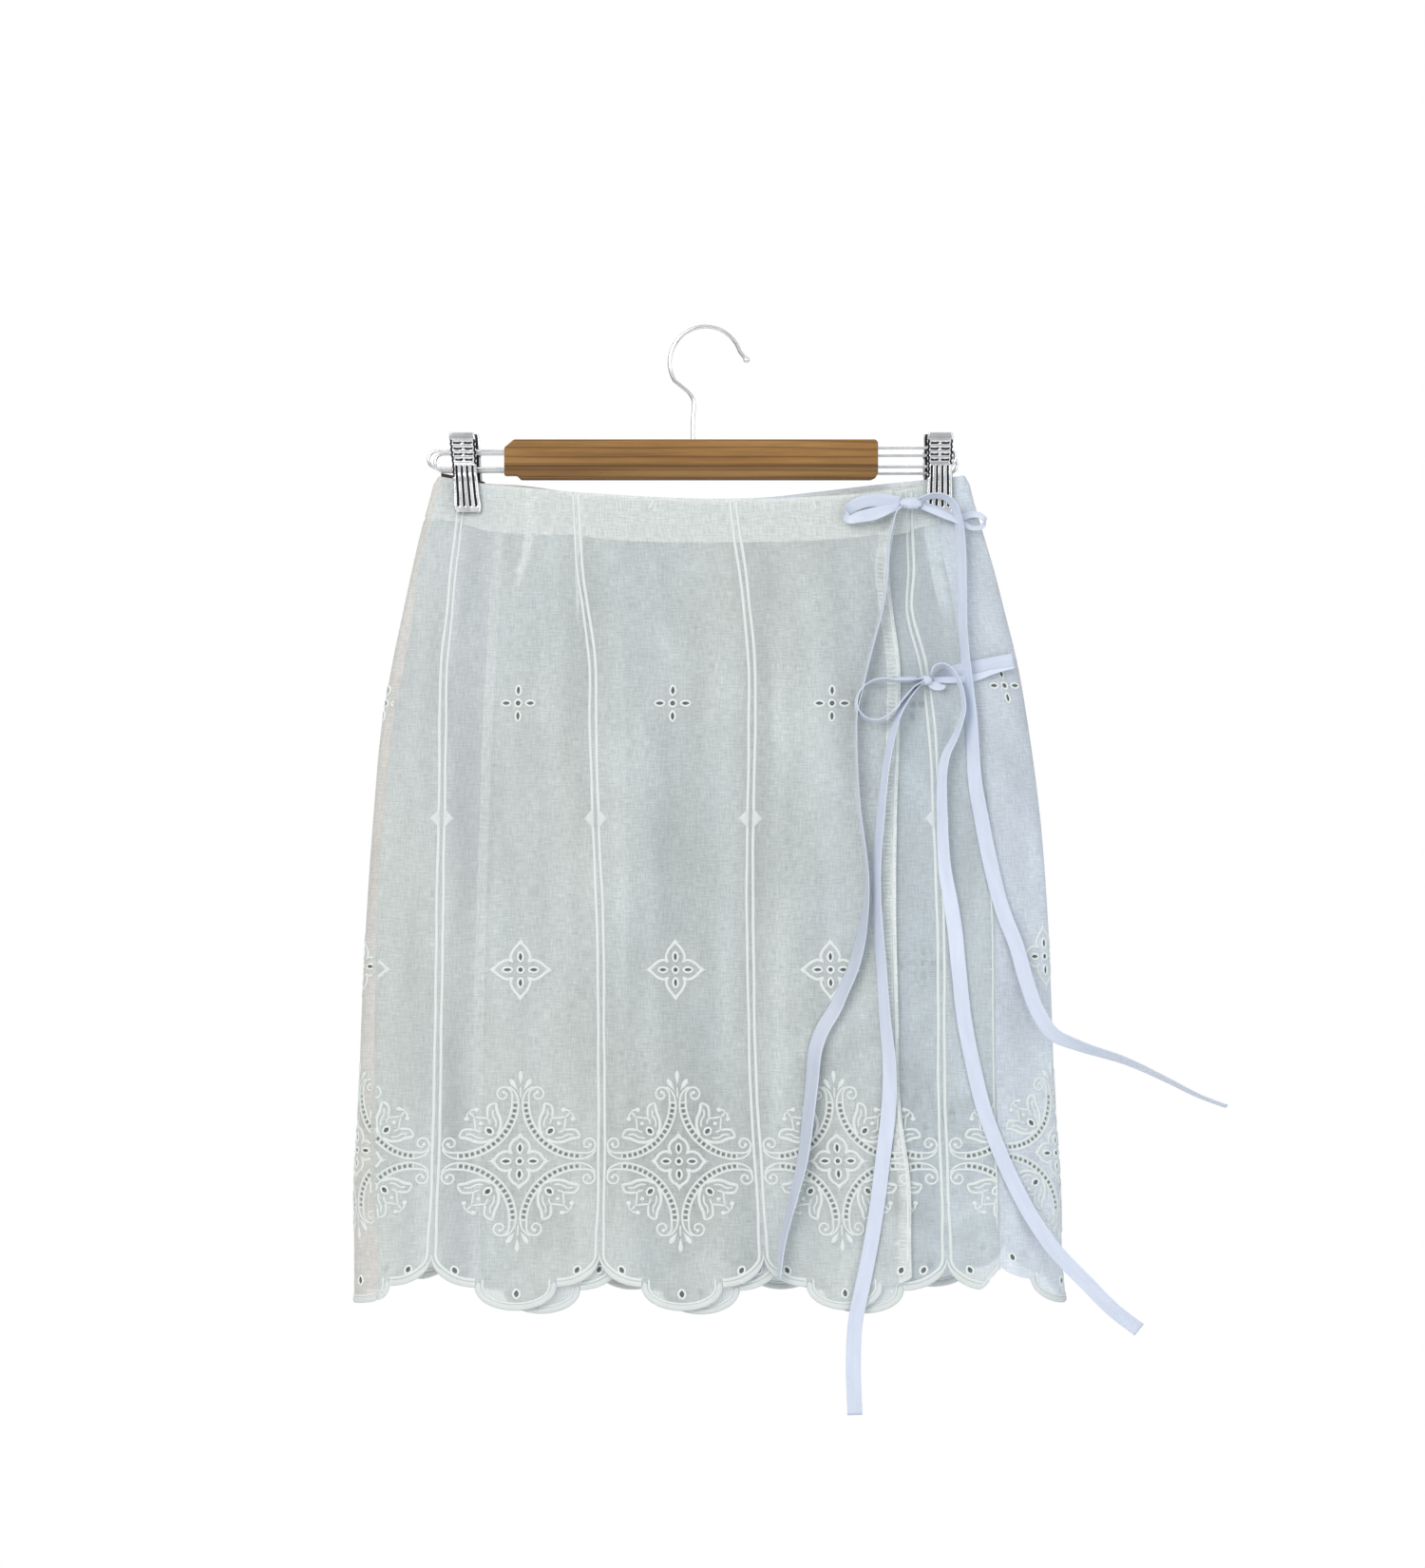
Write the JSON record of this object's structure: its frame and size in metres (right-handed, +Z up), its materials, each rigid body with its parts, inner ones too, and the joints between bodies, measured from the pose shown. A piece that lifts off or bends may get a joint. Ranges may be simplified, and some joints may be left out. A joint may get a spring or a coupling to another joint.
{
  "type": "wrap skirt on a clip hanger",
  "caption": "Short cutwork cotton wrap skirt with a scalloped hem, tied with ribbon bows at waist and hip, hanging from a wooden hanger with sliding metal clips",
  "frame": {"origin": "inner top of the hook, where a rail carries it", "axes": "+Z up along the hook's stem, the front of the skirt towards -Y, +X to the right seen from the front"},
  "size_m": [0.586, 0.0729, 0.7301],
  "materials": {
    "cotton": "sheer plain-woven cotton with satin-stitched cutwork",
    "ribbon": "smooth pale ribbon with a soft sheen",
    "wood": "varnished, straight grain",
    "steel": "bright plated",
    "pad": "dark matt"
  },
  "bodies": {
    "root": {"over_panel": "cotton", "under_panel": "cotton", "back_panel": "cotton", "over_facing": "cotton", "under_facing": "cotton", "back_facing": "cotton", "over_edge_hem": "cotton", "under_edge_hem": "cotton", "waist_bow_knot": "ribbon", "waist_loop_left": "ribbon", "waist_loop_right": "ribbon", "waist_tail_left": "ribbon", "waist_tail_right": "ribbon", "hip_bow_knot": "ribbon", "hip_loop_left": "ribbon", "hip_tail_left": "ribbon", "hip_tail_right": "ribbon", "hip_tie_left": "ribbon", "hip_tie_right": "ribbon", "hanger_bar": "wood", "hook": "steel", "rail_left_front": "steel", "rail_left_rear": "steel", "rail_right_front": "steel", "rail_right_rear": "steel", "clip_left_front": "steel", "clip_left_rear": "steel", "clip_left_pivot": "steel", "clip_right_front": "steel", "clip_right_rear": "steel", "clip_right_pivot": "steel", "clip_left_front_pad": "pad", "clip_left_rear_pad": "pad", "clip_right_front_pad": "pad", "clip_right_rear_pad": "pad"}
  },
  "joints": []
}
